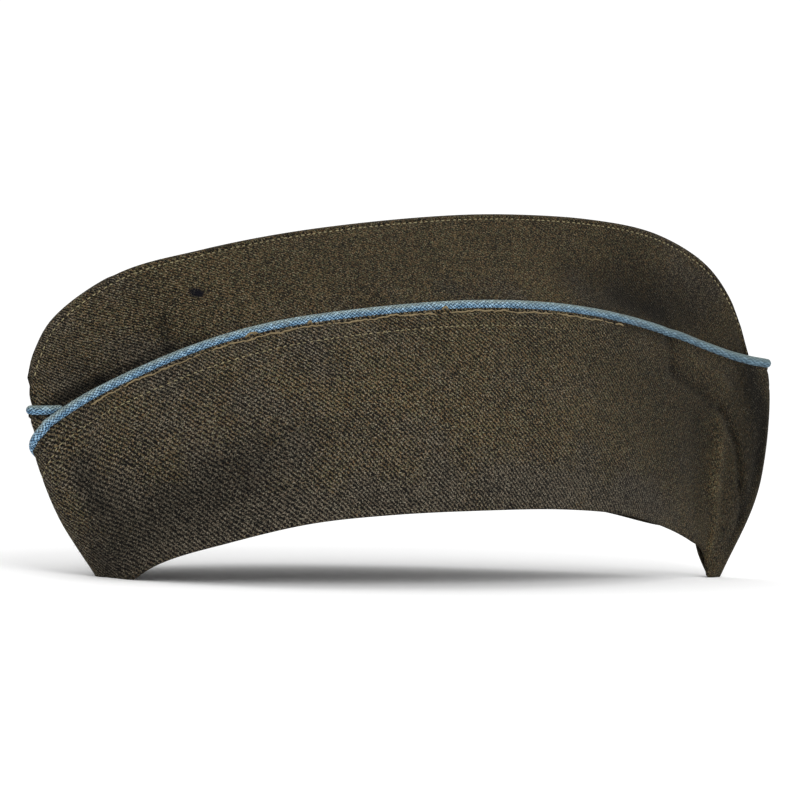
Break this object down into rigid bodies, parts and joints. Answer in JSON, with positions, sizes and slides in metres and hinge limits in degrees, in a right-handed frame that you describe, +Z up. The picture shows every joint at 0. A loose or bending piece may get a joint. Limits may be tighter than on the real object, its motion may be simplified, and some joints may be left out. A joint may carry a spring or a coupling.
{
  "type": "garrison cap",
  "caption": "Folding side cap of wool serge with a turned-up curtain, a folded-down top and a corded edge, lying upright and open below.",
  "frame": {"origin": "on the surface the cap rests on, below the middle of its bounding box", "axes": "+Z up, the front of the cap (the prow) points to -X, the wearer's left side is -Y"},
  "size_m": [0.2993, 0.1102, 0.1276],
  "materials": {
    "crown_serge": "olive drab wool serge, one ply, matt with a little fuzz",
    "curtain_serge": "olive drab wool serge, two plies, matt with a little fuzz",
    "piping_cord": "light blue braided cord, matt"
  },
  "bodies": {
    "root": {"crown_left": "crown_serge", "crown_right": "crown_serge", "crown_top": "crown_serge", "curtain_left": "curtain_serge", "curtain_right": "curtain_serge", "piping": "piping_cord"}
  },
  "joints": []
}
